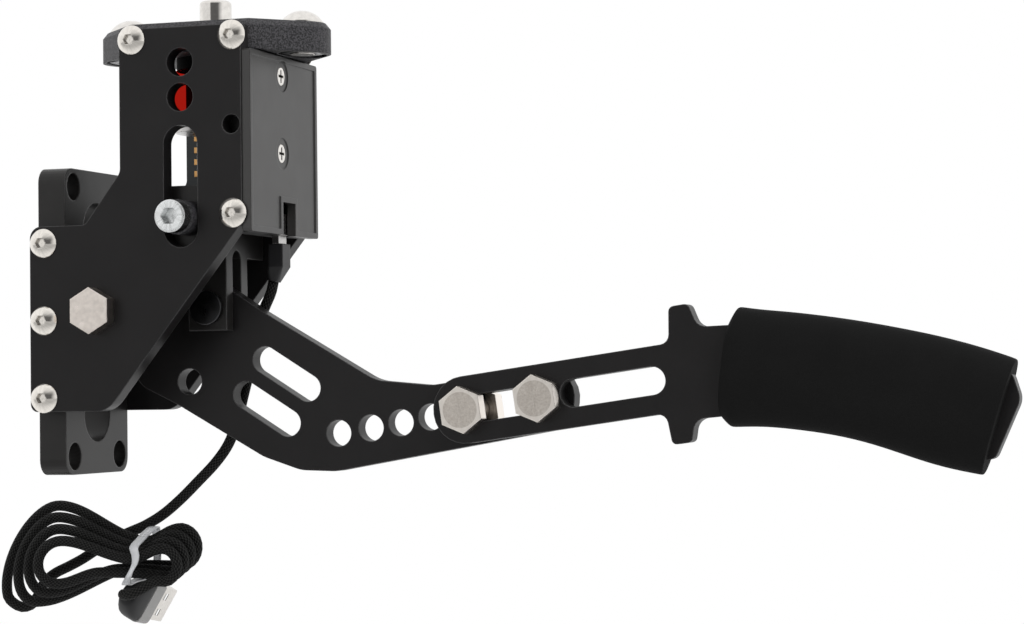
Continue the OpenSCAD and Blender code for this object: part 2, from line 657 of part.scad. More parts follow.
// Handle, in its own frame: the first bolt at the origin, X along the plate and Y across it
grip_ends = [[86, 13.6, 80.5, -13.4, 0.82], [86.8, 17.2, 81.2, -16.2, 0.94], [89.5, 18.6, 84.5, -17.6, 1],
    [98, 16.4, 93, -18.8, 1], [108.5, 14, 101.5, -20.8, 1], [124.5, 9.4, 114.5, -24.4, 1],
    [138, 4.8, 126, -29, 1], [150, 0.4, 136, -34.2, 1], [161.5, -4.6, 145.5, -38.8, 1],
    [170, -9, 154, -42.4, 1], [172.8, -10.8, 158, -42.8, 0.92]];
function core_top(g) = let (a = [g[0], g[1]], b = [g[2], g[3]]) a + unit(b - a) * foam_wall;
function core_low(g) = let (a = [g[0], g[1]], b = [g[2], g[3]]) b + unit(a - b) * foam_wall;
core_rows = [for (i = [3:9]) grip_ends[i]];
half_w = handle_w / 2;
handle_corners = concat(
    [[-half_w, half_w, half_w - 0.2], [-half_w, -half_w, half_w - 0.2], [64.2, -half_w, 3],
     [64.8, -20.4, 1.6], [71, -20.4, 1.6], [73, -13.6, 4]],
    [for (g = core_rows) [core_low(g)[0], core_low(g)[1], 0]],
    [[161.5, -38.2, 2.5], [171.6, -22, 6], [170.4, -14.6, 3]],
    [for (i = [len(core_rows) - 1:-1:0]) [core_top(core_rows[i])[0], core_top(core_rows[i])[1], 0]],
    [[78, 14.2, 4], [76, 21.7, 1.8], [69.8, 21.7, 1.8], [68.2, half_w, 3]]);
module in_handle() {
    translate([bolt1_x, 0, bolt1_z]) rotate([0, -handle_tilt, 0]) children();
}
module handle_blank() {
    upright(-lever_y - lever_t, lever_t) polygon(rounded(handle_corners));
}
module handle_plate() {
    low = -lever_y - lever_t - 1;
    color("#1b1b1d") in_handle() difference() {
        handle_blank();
        slant_slot([0, 0], [bolt_step, 0], arm_slot_w / 2, low, 0);
        slant_slot([long_slot_from, 0], [long_slot_to, 0], arm_slot_w / 2, low, 0);
    }
}
module handle_bolts() {
    color("silver") in_handle() for (k = [0, 1])
        hex_bolt(k * bolt_step, 0, -lever_y - lever_t, 2 * lever_t + nut_h + 1);
}
module handle_nuts() {
    color("silver") in_handle() for (k = [0, 1]) difference() {
        hex_y(k * bolt_step, 0, hex_r, lever_y, lever_y + nut_h);
        bar_y(k * bolt_step, 0, m8_d / 2 + snug, 0, lever_y + nut_h + 1);
    }
}
function grip_ring(g, n) = let (a = [g[0], g[1]], b = [g[2], g[3]], mid = (a + b) / 2, up = (a - b) / 2)
    [for (k = [0:n - 1]) let (c = cos(360 * k / n), s = sin(360 * k / n))
        let (lift = sign(c) * pow(abs(c), 0.8), out = sign(s) * pow(abs(s), 0.8) * grip_half_t * g[4])
        [mid[0] + up[0] * lift, -lever_y - lever_t / 2 + out, mid[1] + up[1] * lift]];
module foam_grip() {
    color("#161617") in_handle() difference() {
        loft([for (g = grip_ends) grip_ring(g, 24)]);
        handle_blank();
    }
}

// Clevis pin and its clip
module clevis_pin() {
    head_y = -prong_y - 0.25;
    color("silver") union() {
        bar_y(rod_x, pin_z, pin_d / 2, head_y, prong_y + 2.3);
        bar_y(rod_x, pin_z, pin_head_d / 2, head_y - 2, head_y);
    }
}
module pin_clip() {
    color("#3a3a3e") tube_y(rod_x, pin_z, pin_d / 2 + 2, pin_d / 2 + snug, prong_y + 0.25, prong_y + 1.25);
}

// Sliding block with its fork: the pin's holes are long enough for the lever's arc
rod_hole = 11;
nut_crown = 2.2;
pin_shift = pin_reach * (1 - cos(swing)) + pin_rise * sin(swing);
module follower_fork() {
    gap_r = fork_gap / 2;
    pin_hole_r = pin_d / 2 + free;
    color("#262629") difference() {
        union() {
            translate([rod_x - block_w / 2, -block_y, block_z])
                cube([block_w, 2 * block_y, block_top - block_z]);
            for (side = [-1, 1])
                translate([rod_x - block_w / 2, side > 0 ? gap_r : -prong_y, pin_z - prong_tail])
                    cube([block_w, prong_t, block_z - pin_z + prong_tail + 1]);
        }
        translate([rod_x - block_w, -gap_r, pin_z]) cube([2 * block_w, fork_gap, block_z - 1 - pin_z]);
        bar_x(0, block_z - 1, gap_r, rod_x - block_w, rod_x + block_w);
        slot_y([rod_x, pin_z], [rod_x - pin_shift, pin_z], pin_hole_r, -prong_y - 1, prong_y + 1);
        translate([rod_x, 0, block_top - rod_hole]) cylinder(r = rod_d / 2 + snug, h = rod_hole + 1);
        bar_y(rod_x, guide_z, rod_d / 2 + snug, -block_y - 1, -block_y + rod_hole);
        bar_y(rod_x, guide_z, rod_d / 2 + snug, block_y - rod_hole, block_y + 1);
    }
}
module push_rod() {
    foot = block_top - rod_hole + 0.5;
    head = cap_top + top_nut_h - nut_crown - 0.3;
    color("silver") translate([rod_x, 0, foot]) cylinder(d = rod_d, h = head - foot);
}
module lock_nut() {
    color("silver") translate([rod_x, 0, block_top]) difference() {
        cylinder(r = 5 / cos(30), h = 5, $fn = 6);
        translate([0, 0, -1]) cylinder(r = rod_d / 2 + snug, h = 7);
    }
}
module thrust_sleeve() {
    color("#8a8a8e") translate([rod_x, 0, block_top + 5]) difference() {
        cylinder(r = sleeve_r, h = damper_z - washer_t - block_top - 5);
        translate([0, 0, -1]) cylinder(r = rod_d / 2 + snug, h = 40);
    }
}
module thrust_washer() {
    color("silver") translate([rod_x, 0, damper_z - washer_t]) difference() {
        cylinder(r = damper_r, h = washer_t);
        translate([0, 0, -1]) cylinder(r = rod_d / 2 + snug, h = washer_t + 2);
    }
}
module top_nut() {
    edge = 1.3;
    r = top_nut_d / 2;
    color("silver") translate([rod_x, 0, cap_top]) difference() {
        rotate_extrude() polygon(concat([[0, 0], [r - 0.4, 0], [r, 0.4], [r, top_nut_h - edge]],
            [for (a = [15:15:75]) [r - edge + edge * cos(a), top_nut_h - edge + edge * sin(a)]],
            [[r - edge, top_nut_h], [0, top_nut_h]]));
        translate([0, 0, -1]) cylinder(r = rod_d / 2 + snug, h = top_nut_h - nut_crown + 1);
    }
}
module magnet() {
    color("#9a9aa0") bar_x(block_y - 7, block_top - 4.5, 3, rod_x - block_w / 2 - 3, rod_x - block_w / 2);
}
bush_face = outer_y + bush_stand;
module guide_screws() {
    head_h = rod_d;
    screw_run = bush_face - block_y + rod_hole - 0.5;
    color("silver") for (side = [-1, 1])
        translate([rod_x, side * bush_face, guide_z]) rotate([-90 * side, 0, 0]) difference() {
            union() {
                cylinder(d = m6_head_d, h = head_h - 0.5);
                cylinder(d = m6_head_d - 1, h = head_h);
                translate([0, 0, -screw_run]) cylinder(d = rod_d, h = screw_run);
            }
            translate([0, 0, head_h / 2]) cylinder(r = 2.5 / cos(30), h = head_h, $fn = 6);
        }
}
module guide_bushes() {
    color("#8a8a8e") for (side = [-1, 1])
        tube_y(rod_x, guide_z, slot_w / 2 - free, rod_d / 2 + snug,
            side > 0 ? block_y : -bush_face, side > 0 ? bush_face : -block_y);
}

// Lead: small plug under the box, strain relief, free stretch, hank, tie and plug
relief_top = [socket_x + 1.75, socket_y, box_z - 2.6];
relief_lean = 14;
relief_dir = [-sin(relief_lean), 0, -cos(relief_lean)];
relief_end = relief_top + [-2.4, 0.6, -relief_len];
module small_plug_shell() {
    color("silver") translate([socket_x + 0.55, socket_y - socket_w / 2 + 0.85, relief_top[2]])
        cube([2.4, socket_w - 1.7, 7.5]);
}
module strain_relief() {
    color("#141415") union() {
        translate([relief_top[0] - 2.5, socket_y - 3.3, relief_top[2] - 7.5]) cube([5, 6.6, 7.5]);
        hull() {
            translate([relief_top[0] - 2.5, socket_y - 3.3, relief_top[2] - 7.5]) cube([5, 6.6, 0.5]);
            translate(relief_end) rotate([0, relief_lean, 0])
                cylinder(r = lead_d / 2 + 0.6, h = 1, $fn = 32);
        }
    }
}
lead_route = [relief_end, relief_end + 4 * relief_dir, [66.2, 7, 2], [64, 7, -6], [61.8, 7, -15],
    [59.2, 7, -24.5], [56.8, 7, -33], [53.6, 7.2, -40.6], [48.8, 7.5, -46.8], [42.2, 8, -53],
    [35.5, 8.4, -59], [29, 8.6, -64], [22.5, 8.8, -67.6], [17.5, 8.8, -69.6], [14, 8.8, -71]];
module usb_lead() {
    color("#151516") loft(tube_rings(lead_route, lead_d / 2, 8));
}
tie_r = 1.6;
// The hank: each loop has a wide left fold, an upper run that steps a layer forward, a round right fold and
// a lower run, and both runs are drawn in towards the tie. Each pair gives the value at the back layer and
// its step from one layer to the next.
hank_start = 0.08;
hank_end = 3.76;
hank_rings = 24;
hank_back = 6.5;
layer_step = 4.05;
fold_x = [-15, 4.4];
fold_z = [-78.6, -0.2];
fold_h = [17.6, -3.5];
fold_w = [11, -1];
fold_lean = [0.39, -0.09];
end_x = [38.3, -0.3];
end_z = [-72.6, -1.75];
end_r = [6.4, -0.25];
waist_top = [-71.2, -1.75];
waist_low = [-79.4, -1];
top_drawn = [25.3, 0];
low_drawn = [31, -6];
run_turn = 25.3;
tie_x = 28.3;
left_part = 0.34;
upper_part = 0.6;
right_part = 0.76;
function ease(u) = let (v = max(0, min(1, u))) v * v * (3 - 2 * v);
function at_layer(pair, layer) = pair[0] + pair[1] * layer;
function between(a, b, u) = a + (b - a) * ease(u);
function left_fold(l, y, a) = let (dz = -at_layer(fold_h, l) * cos(a))
    [at_layer(fold_x, l) - at_layer(fold_w, l) * sin(a) + at_layer(fold_lean, l) * dz, y,
     at_layer(fold_z, l) + dz];
function right_fold(l, y, a) =
    [at_layer(end_x, l) + at_layer(end_r, l) * sin(a), y, at_layer(end_z, l) + at_layer(end_r, l) * cos(a)];
function run_point(l, y, side, k) =
    let (from = left_fold(l, y, side > 0 ? 180 : 0), to = right_fold(l, y, side > 0 ? 0 : 180))
    let (x = from[0] + (to[0] - from[0]) * k, waist = at_layer(side > 0 ? waist_top : waist_low, l))
    let (drawn = at_layer(side > 0 ? top_drawn : low_drawn, l), turn = max(drawn, run_turn))
    [x, y, x < turn ? between(from[2], waist, (x - from[0]) / (drawn - from[0]))
        : between(waist, to[2], (x - turn) / (to[0] - turn))];
function loop_point(t) =
    let (turn = floor(t), u = t - turn, layer = turn + ease((u - left_part) / (upper_part - left_part)))
    let (y = hank_back - layer * layer_step)
    u < left_part ? left_fold(layer, y, 180 * u / left_part)
    : u < upper_part ? run_point(layer, y, 1, (u - left_part) / (upper_part - left_part))
    : u < right_part ? right_fold(layer, y, 180 * (u - upper_part) / (right_part - upper_part))
    : run_point(layer, y, -1, 1 - (u - right_part) / (1 - right_part));
hank_route = concat(
    [[14, 8.8, -71], [10.5, 8.8, -72.4], [5, 9, -75.4], [-1, 9, -79], [-6.3, 8.9, -81.6], [-11, 8.7, -83.8],
     [-14.7, 8.4, -86.8], [-17, 8, -91.2], [-19.2, 7.6, -94.2], [-22.6, 7.1, -95.1], [-25.8, 6.7, -93.6]],
    [for (k = [0:floor((hank_end - hank_start) * hank_rings)]) loop_point(hank_start + k / hank_rings)],
    [[34.6, -10.1, -84.8], [31.6, -10.9, -86.5], [28.6, -11.3, -88.2], [25.8, -10.8, -89.2],
     [23.4, -9.3, -89.4], [21.9, -7.1, -89.4], [21.2, -4.7, -89.7], [21.2, -2.4, -90.1]]);
plug_at = hank_route[len(hank_route) - 1];
function gap_between(p, skip) =
    min([for (i = [0:len(p) - skip - 1]) for (j = [i + skip:len(p) - 1]) norm(p[i] - p[j])]);
function run_of(p) =
    let (steps = [for (i = [1:len(p) - 1]) norm(p[i] - p[i - 1])]) steps * [for (s = steps) 1];
echo(hank_gap = gap_between(hank_route, 6) - lead_d);
echo(hank_run = run_of(hank_route), free_run = run_of(lead_route));
module lead_hank() {
    color("#151516") loft(tube_rings(hank_route, lead_d / 2, 6));
}
// The tie: its ring in Y and Z leans with the strands that it holds, which the corners follow
tie_room = lead_d / 2 + free;
tie_back = hank_back - layer_step * 0.86;
tie_front = hank_back - layer_step * 3.86;
function tie_ring(room) = let (r = tie_r + room - tie_room)
    [[tie_front - room, -83.2 - room, r], [tie_back + room, -81.3 - room, r],
     [tie_back + room, -70.6 + room, r], [tie_front - room, -76.2 + room, r]];
module hank_tie() {
    color("#d9dce0") translate([tie_x - tie_w / 2, 0, 0]) rotate([90, 0, 90]) linear_extrude(tie_w)
        difference() {
            polygon(rounded(tie_ring(tie_room + tie_t)));
            polygon(rounded(tie_ring(tie_room)));
        }
}
plug_dip = 9.5;
plug_turn = 28;
module in_plug() {
    translate(plug_at) rotate([-90 - plug_dip, 0, 0]) rotate([0, 0, plug_turn]) children();
}
module plug_slab(w, h, z) {
    translate([0, 0, z]) linear_extrude(0.5) polygon(rounded(box_corners(w, h, min(w, h) * 0.3)));
}
module usb_plug_body() {
    color("#3d3f42") in_plug() hull() {
        plug_slab(6, 7, snug);
        plug_slab(7.6, 11, 3);
        plug_slab(7.8, 15, plug_body_len - 0.5);
    }
}
module usb_plug_collar() {
    color("#8d8f91") in_plug() translate([0, 0, plug_body_len]) linear_extrude(plug_collar_len)
        polygon(rounded(box_corners(7.8, 15.4, 2)));
}
module usb_plug_shell() {
    color("#c9c4bd") in_plug() translate([0, 0, plug_body_len + plug_collar_len]) difference() {
        linear_extrude(plug_shell_len) polygon(rounded(box_corners(4.5, plug_shell_w, 0.5)));
        translate([0, 0, 0.5]) linear_extrude(plug_shell_len)
            square([3.9, plug_shell_w - 0.6], center = true);
        for (k = [-1, 1]) translate([-3, k * 2.9 - 1.2, plug_shell_len - 7]) cube([6, 2.4, 2.4]);
    }
}
module usb_plug_tongue() {
    foot = plug_body_len + plug_collar_len + 0.5;
    color("#e8e8e6") in_plug() translate([-1.95, -plug_shell_w / 2 + 0.5, foot])
        cube([1.8, plug_shell_w - 1, plug_shell_len - 1.5]);
}

base_plate();
side_plate_near();
side_plate_far();
plate_screws_near();
plate_screws_far();
top_cap();
cap_end_screws();
cap_end_nuts();
guide_bush();
damper_seat();
damper();
box_tray();
box_cover();
cover_screws();
main_board();
board_chips();
lead_socket();
sensor_board();
sensor_pads();
sensor_chip();
sensor_screws();
sensor_lead();
pivot_bolt();
pivot_washer();
pivot_nut();
pivot_spacers();
lever_arm();
lever_bush();
handle_plate();
handle_bolts();
handle_nuts();
foam_grip();
clevis_pin();
pin_clip();
follower_fork();
push_rod();
lock_nut();
thrust_sleeve();
thrust_washer();
top_nut();
magnet();
guide_screws();
guide_bushes();
small_plug_shell();
strain_relief();
usb_lead();
lead_hank();
hank_tie();
usb_plug_body();
usb_plug_collar();
usb_plug_shell();
usb_plug_tongue();
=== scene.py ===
import math

import bmesh
import bpy
from mathutils import Matrix, Vector


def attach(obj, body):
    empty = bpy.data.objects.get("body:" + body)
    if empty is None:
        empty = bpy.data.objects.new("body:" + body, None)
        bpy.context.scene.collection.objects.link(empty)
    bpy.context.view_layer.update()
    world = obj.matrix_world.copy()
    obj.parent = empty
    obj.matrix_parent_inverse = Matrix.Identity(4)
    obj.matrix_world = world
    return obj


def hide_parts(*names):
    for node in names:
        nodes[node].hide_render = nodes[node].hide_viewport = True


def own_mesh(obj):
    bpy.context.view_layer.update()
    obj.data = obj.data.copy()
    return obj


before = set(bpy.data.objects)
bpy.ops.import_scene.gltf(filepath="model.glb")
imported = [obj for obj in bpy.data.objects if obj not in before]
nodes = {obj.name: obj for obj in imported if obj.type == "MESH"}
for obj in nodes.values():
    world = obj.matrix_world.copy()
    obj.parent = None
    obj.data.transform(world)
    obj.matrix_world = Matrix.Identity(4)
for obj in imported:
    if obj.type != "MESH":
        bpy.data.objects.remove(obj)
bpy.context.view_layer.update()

# Camera: a long lens a little below the pivot, looking past the near side plate at the electronics cover.
# The picture is framed below the lens's own axis, which the shift takes up.
LENS_PIXELS = 2747.3
LENS_AXIS_PIXEL_Y = 280.7
IMAGE_WIDTH, IMAGE_HEIGHT = 1024, 624
SENSOR_WIDTH = 36
camera_place = (0.421685, -0.825081, -0.024146)
camera_data = bpy.data.cameras.new("camera")
camera_data.sensor_width = SENSOR_WIDTH
camera_data.lens = SENSOR_WIDTH * LENS_PIXELS / IMAGE_WIDTH
camera_data.shift_y = (LENS_AXIS_PIXEL_Y - IMAGE_HEIGHT / 2) / IMAGE_WIDTH
camera_data.clip_start = 0.05
camera_data.clip_end = 50
camera = bpy.data.objects.new("camera", camera_data)
bpy.context.scene.collection.objects.link(camera)
turn, pitch, roll = math.radians(17.938), math.radians(-2.268), math.radians(-0.765)
back = Vector((math.sin(turn) * math.cos(pitch), -math.cos(turn) * math.cos(pitch), math.sin(pitch)))
level = Vector((math.cos(turn), math.sin(turn), 0))
upright = back.cross(level)
camera_right = level * math.cos(roll) + upright * math.sin(roll)
camera_up = upright * math.cos(roll) - level * math.sin(roll)
camera.matrix_world = Matrix.Translation(camera_place) @ Matrix(
    (camera_right, camera_up, back)).transposed().to_4x4()
bpy.context.scene.camera = camera


# Lead: a round USB cable in a black braided sleeve. It leaves the strain relief under the box, passes behind
# the lever, and is folded into a hank whose loops lie behind each other, drawn in by a clear tie. Its sizes are
# in millimetres.
MM = 0.001
lead_d, lead_step, lead_sides = 3.5, 1.6, 20
relief_top = Vector((72.65, 6.2, 24.4))
relief_lean = math.radians(14)
relief_dir = Vector((-math.sin(relief_lean), 0, -math.cos(relief_lean)))
relief_end = relief_top + Vector((-2.4, 0.6, -12))
free_route = [relief_end, relief_end + 4 * relief_dir, (66.2, 7, 2), (64, 7, -6), (61.8, 7, -15),
    (59.2, 7, -24.5), (56.8, 7, -33), (53.6, 7.2, -40.6), (48.8, 7.5, -46.8), (42.2, 8, -53), (35.5, 8.4, -59),
    (29, 8.6, -64), (22.5, 8.8, -67.6), (17.5, 8.8, -69.6)]
hank_lead_in = [(14, 8.8, -71), (10.5, 8.8, -72.4), (5, 9, -75.4), (-1, 9, -79), (-6.3, 8.9, -81.6),
    (-11, 8.7, -83.8), (-14.7, 8.4, -86.8), (-17, 8, -91.2), (-19.2, 7.6, -94.2), (-22.6, 7.1, -95.1),
    (-25.8, 6.7, -93.6)]
hank_lead_out = [(34.6, -10.1, -84.8), (31.6, -10.9, -86.5), (28.6, -11.3, -88.2), (25.8, -10.8, -89.2),
    (23.4, -9.3, -89.4), (21.9, -7.1, -89.4), (21.2, -4.7, -89.7), (21.2, -2.4, -90.1)]

# Each loop of the hank has a wide left fold, an upper run that steps a layer forward, a round right fold and
# a lower run, and both runs are drawn in towards the tie. Each pair is the value at the back layer and its step
# from one layer to the next.
hank_start, hank_end = 0.08, 3.76
hank_back, layer_step = 6.5, 4.05
fold_x, fold_z = (-15, 4.4), (-78.6, -0.2)
fold_h, fold_w, fold_lean = (17.6, -3.5), (11, -1), (0.39, -0.09)
end_x, end_z, end_r = (38.3, -0.3), (-72.6, -1.75), (6.4, -0.25)
waist_top, waist_low = (-71.2, -1.75), (-79.4, -1)
top_drawn, low_drawn, run_turn = (25.3, 0), (31, -6), 25.3
left_part, upper_part, right_part = 0.34, 0.6, 0.76
points_per_loop = 48


def ease(u):
    """From 0 to 1 with a slow start and a slow end."""
    v = max(0.0, min(1.0, u))
    return v * v * (3 - 2 * v)


def at_layer(pair, layer):
    return pair[0] + pair[1] * layer


def left_fold(layer, y, angle):
    dz = -at_layer(fold_h, layer) * math.cos(angle)
    x = at_layer(fold_x, layer) - at_layer(fold_w, layer) * math.sin(angle) + at_layer(fold_lean, layer) * dz
    return x, y, at_layer(fold_z, layer) + dz


def right_fold(layer, y, angle):
    r = at_layer(end_r, layer)
    return at_layer(end_x, layer) + r * math.sin(angle), y, at_layer(end_z, layer) + r * math.cos(angle)


def run_point(layer, y, side, k):
    """A point at share k of a run, the upper one for side 1 and the lower one for side -1."""
    start = left_fold(layer, y, math.pi if side > 0 else 0)
    end = right_fold(layer, y, 0 if side > 0 else math.pi)
    x = start[0] + (end[0] - start[0]) * k
    waist = at_layer(waist_top if side > 0 else waist_low, layer)
    drawn = at_layer(top_drawn if side > 0 else low_drawn, layer)
    turn = max(drawn, run_turn)
    if x < turn:
        return x, y, start[2] + (waist - start[2]) * ease((x - start[0]) / (drawn - start[0]))
    return x, y, waist + (end[2] - waist) * ease((x - turn) / (end[0] - turn))


def loop_point(t):
    """A point of the hank after t loops, counted from the back."""
    turn = math.floor(t)
    u = t - turn
    layer = turn + ease((u - left_part) / (upper_part - left_part))
    y = hank_back - layer * layer_step
    if u < left_part:
        return left_fold(layer, y, math.pi * u / left_part)
    if u < upper_part:
        return run_point(layer, y, 1, (u - left_part) / (upper_part - left_part))
    if u < right_part:
        return right_fold(layer, y, math.pi * (u - upper_part) / (right_part - upper_part))
    return run_point(layer, y, -1, 1 - (u - right_part) / (1 - right_part))


def curved(a, b, c, d, u):
    """A point at share u of the way from b to c, on a smooth curve that comes from a and goes on to d."""
    return 0.5 * ((2 * b) + (c - a) * u + (2 * a - 5 * b + 4 * c - d) * u * u
        + (3 * b - a - 3 * c + d) * u ** 3)


def smooth_route(points, step):
    """Points about a step apart along a smooth curve through the given ones, and the curve's length."""
    p = [Vector(q) for q in points]
    p = [2 * p[0] - p[1]] + p + [2 * p[-1] - p[-2]]
    fine = []
    parts = 16
    for a, b, c, d in zip(p, p[1:], p[2:], p[3:]):
        fine += [curved(a, b, c, d, k / parts) for k in range(parts)]
    fine.append(p[-2])
    total = sum((b - a).length for a, b in zip(fine, fine[1:]))
    count = max(2, round(total / step))
    even, want, run = [fine[0]], total / count, 0.0
    for a, b in zip(fine, fine[1:]):
        length = (b - a).length
        while run + length >= want * len(even) and len(even) < count:
            even.append(a.lerp(b, (want * len(even) - run) / length))
        run += length
    even.append(fine[-1])
    return even, total


def tube(name, points, radius, sides):
    """A mesh tube along the points, with its own map: X round it in turns and Y along it in millimetres."""
    bm = bmesh.new()
    uv = bm.loops.layers.uv.new("along")
    side = Vector((0, 1, 0.02))
    rings, run = [], [0.0]
    for i, q in enumerate(points):
        t = (points[min(i + 1, len(points) - 1)] - points[max(i - 1, 0)]).normalized()
        side = (side - side.dot(t) * t).normalized()
        turned = Matrix((side, t.cross(side), t)).transposed().to_4x4()
        ring = bmesh.ops.create_circle(bm, segments=sides, radius=radius * MM,
            matrix=Matrix.Translation(q * MM) @ turned)["verts"]
        rings.append(ring)
        if i:
            run.append(run[-1] + (q - points[i - 1]).length)
    for i in range(len(rings) - 1):
        for k in range(sides):
            n = (k + 1) % sides
            face = bm.faces.new((rings[i][k], rings[i][n], rings[i + 1][n], rings[i + 1][k]))
            face.smooth = True
            for loop, u, v in zip(face.loops, (k, k + 1, k + 1, k), (i, i, i + 1, i + 1)):
                loop[uv].uv = (u / sides, run[v])
    bm.faces.new(list(reversed(rings[0])))
    bm.faces.new(rings[-1])
    mesh = bpy.data.meshes.new(name)
    bm.to_mesh(mesh)
    bm.free()
    piece = bpy.data.objects.new(name, mesh)
    bpy.context.scene.collection.objects.link(piece)
    return piece


def surface(name, colour, roughness, **sockets):
    """A new material with these constants on its shader, and the node tree to build on."""
    material = bpy.data.materials.new(name)
    material.use_nodes = True
    shader = material.node_tree.nodes["Principled BSDF"]
    shader.inputs["Base Color"].default_value = (*colour, 1)
    shader.inputs["Roughness"].default_value = roughness
    for socket, value in sockets.items():
        shader.inputs[socket.replace("_", " ")].default_value = value
    return material, material.node_tree, shader


def add_node(tree, kind, **values):
    """A new node with these values, each set on the node itself or else on its socket of that name."""
    node = tree.nodes.new(kind)
    for key, value in values.items():
        if hasattr(node, key):
            setattr(node, key, value)
        else:
            node.inputs[key.replace("_", " ")].default_value = value
    return node


def math_node(tree, operation, a, b=None):
    """The result of an operation on one or two values, each a number or another node's output."""
    node = tree.nodes.new("ShaderNodeMath")
    node.operation = operation
    for socket, value in zip(node.inputs, (a, b)):
        if isinstance(value, (int, float)):
            socket.default_value = value
        elif value is not None:
            tree.links.new(value, socket)
    return node.outputs[0]


def spread(tree, value, **ranges):
    """The value, drawn out from one range to another, each 0 to 1 where nothing else is said."""
    node = add_node(tree, "ShaderNodeMapRange", **ranges)
    tree.links.new(value, node.inputs[0])
    return node.outputs[0]


def tinted(tree, share, low, high):
    """A colour that goes from low to high with the share, each a colour or another node's output."""
    mix = add_node(tree, "ShaderNodeMix", data_type="RGBA")
    tree.links.new(share, mix.inputs[0])
    for socket, colour in ((mix.inputs[6], low), (mix.inputs[7], high)):
        if isinstance(colour, tuple):
            socket.default_value = (*colour, 1)
        else:
            tree.links.new(colour, socket)
    return mix.outputs[2]


def raised(tree, shader, height, depth, strength=0.5, over=None):
    """Raises the surface by this height, on top of the normal that comes from over."""
    bump = add_node(tree, "ShaderNodeBump", Strength=strength, Distance=depth)
    tree.links.new(height, bump.inputs["Height"])
    if over is not None:
        tree.links.new(over, bump.inputs["Normal"])
    tree.links.new(bump.outputs[0], shader.inputs["Normal"])


def dress(piece, material, body=None):
    """Gives a piece its one material, and a new piece its body too."""
    piece.data.materials.clear()
    piece.data.materials.append(material)
    if body:
        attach(piece, body)


# The braid: ten fine strands each way, nearly black, with a painted highlight that makes their crowns paler.
strands_round, strand_pitch = 10, 1.5
braid, tree, shader = surface("braided_sleeve", (0.008, 0.008, 0.008), 0.7, Specular_IOR_Level=0.15)
place = add_node(tree, "ShaderNodeUVMap", uv_map="along")
split = add_node(tree, "ShaderNodeSeparateXYZ")
tree.links.new(place.outputs[0], split.inputs[0])
round_it = math_node(tree, "MULTIPLY", split.outputs[0], strands_round)
along_it = math_node(tree, "MULTIPLY", split.outputs[1], 1 / strand_pitch)
strands = []
for sign in (1, -1):
    phase = math_node(tree, "ADD", round_it, math_node(tree, "MULTIPLY", along_it, sign))
    strands.append(math_node(tree, "SINE", math_node(tree, "MULTIPLY", phase, 2 * math.pi)))
weave = math_node(tree, "MAXIMUM", strands[0], strands[1])
ply = math_node(tree, "MULTIPLY", strands[0], strands[1])
height = math_node(tree, "ADD", weave, math_node(tree, "MULTIPLY", ply, 0.35))
raised(tree, shader, height, 0.0002, strength=0.9)
# Painted highlight: the crowns of the strands are paler in the colour itself, on top of their bumps.
painted_crown_highlight = spread(tree, height, From_Min=0.2, From_Max=1.3)
tone = tinted(tree, painted_crown_highlight, (0.002, 0.002, 0.002), (0.026, 0.026, 0.025))
tree.links.new(tone, shader.inputs["Base Color"])

loops = [loop_point(hank_start + k / points_per_loop)
    for k in range(int((hank_end - hank_start) * points_per_loop) + 1)]
route, lead_length = smooth_route(free_route + hank_lead_in + loops + hank_lead_out, lead_step)
lead = tube("braided_lead", route, lead_d / 2, lead_sides)
dress(lead, braid, "housing")
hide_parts("usb_lead", "lead_hank")


# Strain relief and large plug: the relief is black rubber, moulded over the small plug under the box, smooth
# with a faint satin gloss. The plug at the hank has a nearly black moulded body, a grey collar and a white
# tongue.
def softened(tree, radius):
    """A normal that rounds sharp edges over this radius, for the light to catch."""
    return add_node(tree, "ShaderNodeBevel", samples=6, Radius=radius).outputs[0]


def noise(tree, place, scale, detail):
    """Soft uneven spots all over a piece, the finer the larger the scale."""
    node = add_node(tree, "ShaderNodeTexNoise", Scale=scale, Detail=detail)
    tree.links.new(place, node.inputs["Vector"])
    return node.outputs[0]


def grained(name, dark, light, roughness, grain_scale, grain_depth, edge, edge_wear_and_highlight_tone=None, speckled=False,
        **sockets):
    """A coated or moulded surface: two close tones, uneven gloss, a fine grain, and edges softened and maybe
    painted paler, partly as rubbed wear and partly as a painted highlight. The tones lie in clouds, or follow
    the grain where the surface is speckled."""
    cloud_scale, gloss_swing = 90, 0.07
    hardly_turned, well_turned = 0.995, 0.8
    material, tree, shader = surface(name, dark, roughness, **sockets)
    place = add_node(tree, "ShaderNodeTexCoord").outputs["Object"]
    cloud = noise(tree, place, cloud_scale, 4)
    fine = noise(tree, place, grain_scale, 3)
    share = spread(tree, fine, From_Min=0.4, From_Max=0.6) if speckled else cloud
    tone = tinted(tree, share, dark, light)
    soft = softened(tree, edge)
    # Edges that turn away are painted paler in patches, partly as wear and partly as a painted highlight.
    if edge_wear_and_highlight_tone:
        facing = add_node(tree, "ShaderNodeNewGeometry").outputs["Normal"]
        along = add_node(tree, "ShaderNodeVectorMath", operation="DOT_PRODUCT")
        tree.links.new(facing, along.inputs[0])
        tree.links.new(soft, along.inputs[1])
        edge_wear_and_highlight = spread(tree, along.outputs["Value"], From_Min=hardly_turned, From_Max=well_turned)
        tone = tinted(tree, math_node(tree, "MULTIPLY", edge_wear_and_highlight, cloud), tone, edge_wear_and_highlight_tone)
    tree.links.new(tone, shader.inputs["Base Color"])
    uneven = spread(tree, cloud, To_Min=roughness - gloss_swing, To_Max=roughness + gloss_swing)
    tree.links.new(uneven, shader.inputs["Roughness"])
    raised(tree, shader, fine, grain_depth, over=soft)
    return material


